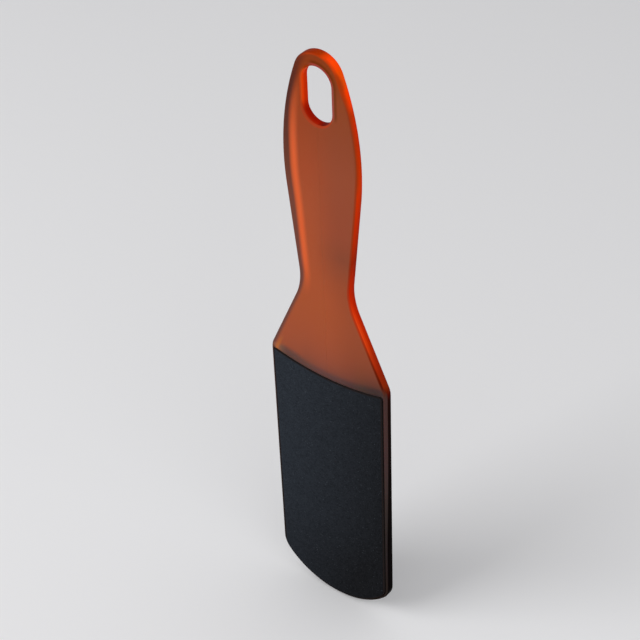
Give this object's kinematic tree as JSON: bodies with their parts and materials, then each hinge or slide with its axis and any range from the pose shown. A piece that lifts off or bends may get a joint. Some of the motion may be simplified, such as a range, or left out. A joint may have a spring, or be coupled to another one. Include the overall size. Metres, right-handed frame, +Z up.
{
  "type": "foot file",
  "caption": "Flat paddle foot file with a waisted handle, a hanging slot at its end, a rounded blade and an abrasive sheet on each face.",
  "frame": {"origin": "centre of the hanging slot, at the middle of the plate's thickness, with the file hanging upright", "axes": "+Z up the handle, +X across the blade to the right seen from the coarse side, -Y out of the coarse side"},
  "size_m": [0.053, 0.0051, 0.25],
  "materials": {
    "translucent_plastic": "frosted translucent orange, satin moulded skin, clear glowing edges",
    "adhesive_film": "thin tacky film, only its edge shows",
    "backing_paper": "black waterproof paper, die-cut edge",
    "coarse_grit": "slate black mineral grains in resin, coarse",
    "fine_grit": "slate black mineral grains in resin, fine"
  },
  "bodies": {
    "root": {"moulded_handle": "translucent_plastic", "front_adhesive": "adhesive_film", "front_backing": "backing_paper", "front_coarse_grit": "coarse_grit", "rear_adhesive": "adhesive_film", "rear_backing": "backing_paper", "rear_fine_grit": "fine_grit"}
  },
  "joints": []
}
